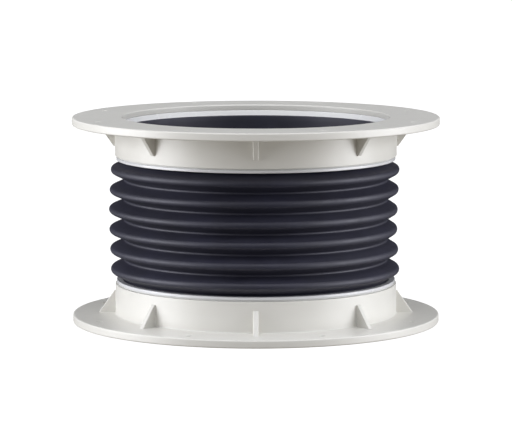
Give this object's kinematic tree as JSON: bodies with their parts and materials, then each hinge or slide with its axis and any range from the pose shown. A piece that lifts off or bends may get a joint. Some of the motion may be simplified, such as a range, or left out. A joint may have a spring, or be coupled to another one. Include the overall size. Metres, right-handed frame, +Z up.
{
  "type": "rubber expansion joint",
  "caption": "Flanged rubber expansion joint: a black rubber bellows between two ribbed white swivel flanges drilled for screws.",
  "frame": {"origin": "centre of the lower flange's face, on the bore's axis", "axes": "+Z up along the bore's axis from the lower flange to the upper flange; -Y points at a gusset rib of each flange; the bellows bends about X"},
  "size_m": [0.3, 0.3, 0.168],
  "materials": {
    "flange_plastic": "satin",
    "sleeve_plastic": "gloss",
    "washer_plastic": "matte",
    "bright_steel": "satin",
    "seal_rubber": "matte",
    "bellows_rubber": "satin"
  },
  "bodies": {
    "base": {"lower_flange": "flange_plastic", "lower_snap_ring": "bright_steel"},
    "lower_cuff": {"lower_sleeve": "sleeve_plastic", "lower_thrust_washer": "washer_plastic", "lower_o_ring": "seal_rubber", "lower_cuff_band": "bright_steel", "lower_turnbuckle": "bright_steel", "rubber_bellows": "bellows_rubber"},
    "hoop_1": {"support_hoop_1": "bright_steel"},
    "hoop_2": {"support_hoop_2": "bright_steel"},
    "hoop_3": {"support_hoop_3": "bright_steel"},
    "hoop_4": {"support_hoop_4": "bright_steel"},
    "hoop_5": {"support_hoop_5": "bright_steel"},
    "upper_cuff": {"upper_sleeve": "sleeve_plastic", "upper_thrust_washer": "washer_plastic", "upper_o_ring": "seal_rubber", "upper_cuff_band": "bright_steel", "upper_turnbuckle": "bright_steel"},
    "top_flange": {"upper_flange": "flange_plastic", "upper_snap_ring": "bright_steel"}
  },
  "joints": [
    {"name": "lower_flange_swivel", "type": "hinge", "parent": "base", "child": "lower_cuff", "pos_m": [0, 0, 0.017], "axis": [0, 0, 1], "continuous": true},
    {"name": "lower_bend", "type": "hinge", "parent": "lower_cuff", "child": "hoop_1", "pos_m": [0, 0, 0.04317], "axis": [1, 0, 0], "range_deg": [-3, 3], "stiffness_Nm_per_rad": 25, "deforming": ["rubber_bellows"]},
    {"name": "axial_wave_2", "type": "slide", "parent": "hoop_1", "child": "hoop_2", "axis": [0, 0, 1], "range_m": [-0.005, 0.003], "stiffness_N_per_m": 8000, "springref_m": 0.0008, "deforming": ["rubber_bellows"]},
    {"name": "axial_wave_3", "type": "slide", "parent": "hoop_2", "child": "hoop_3", "axis": [0, 0, 1], "range_m": [-0.005, 0.003], "stiffness_N_per_m": 8000, "springref_m": 0.0008, "deforming": ["rubber_bellows"]},
    {"name": "axial_wave_4", "type": "slide", "parent": "hoop_3", "child": "hoop_4", "axis": [0, 0, 1], "range_m": [-0.005, 0.003], "stiffness_N_per_m": 8000, "springref_m": 0.0008, "deforming": ["rubber_bellows"]},
    {"name": "axial_wave_5", "type": "slide", "parent": "hoop_4", "child": "hoop_5", "axis": [0, 0, 1], "range_m": [-0.005, 0.003], "stiffness_N_per_m": 8000, "springref_m": 0.0008, "deforming": ["rubber_bellows"]},
    {"name": "upper_bend", "type": "hinge", "parent": "hoop_5", "child": "upper_cuff", "pos_m": [0, 0, 0.12483], "axis": [1, 0, 0], "range_deg": [-3, 3], "stiffness_Nm_per_rad": 25, "deforming": ["rubber_bellows"]},
    {"name": "upper_flange_swivel", "type": "hinge", "parent": "upper_cuff", "child": "top_flange", "pos_m": [0, 0, 0.151], "axis": [0, 0, 1], "continuous": true}
  ],
  "couplings": [
    {"joint": "axial_wave_3", "follows": "axial_wave_2", "ratio": 1},
    {"joint": "axial_wave_4", "follows": "axial_wave_2", "ratio": 1},
    {"joint": "axial_wave_5", "follows": "axial_wave_2", "ratio": 1}
  ]
}
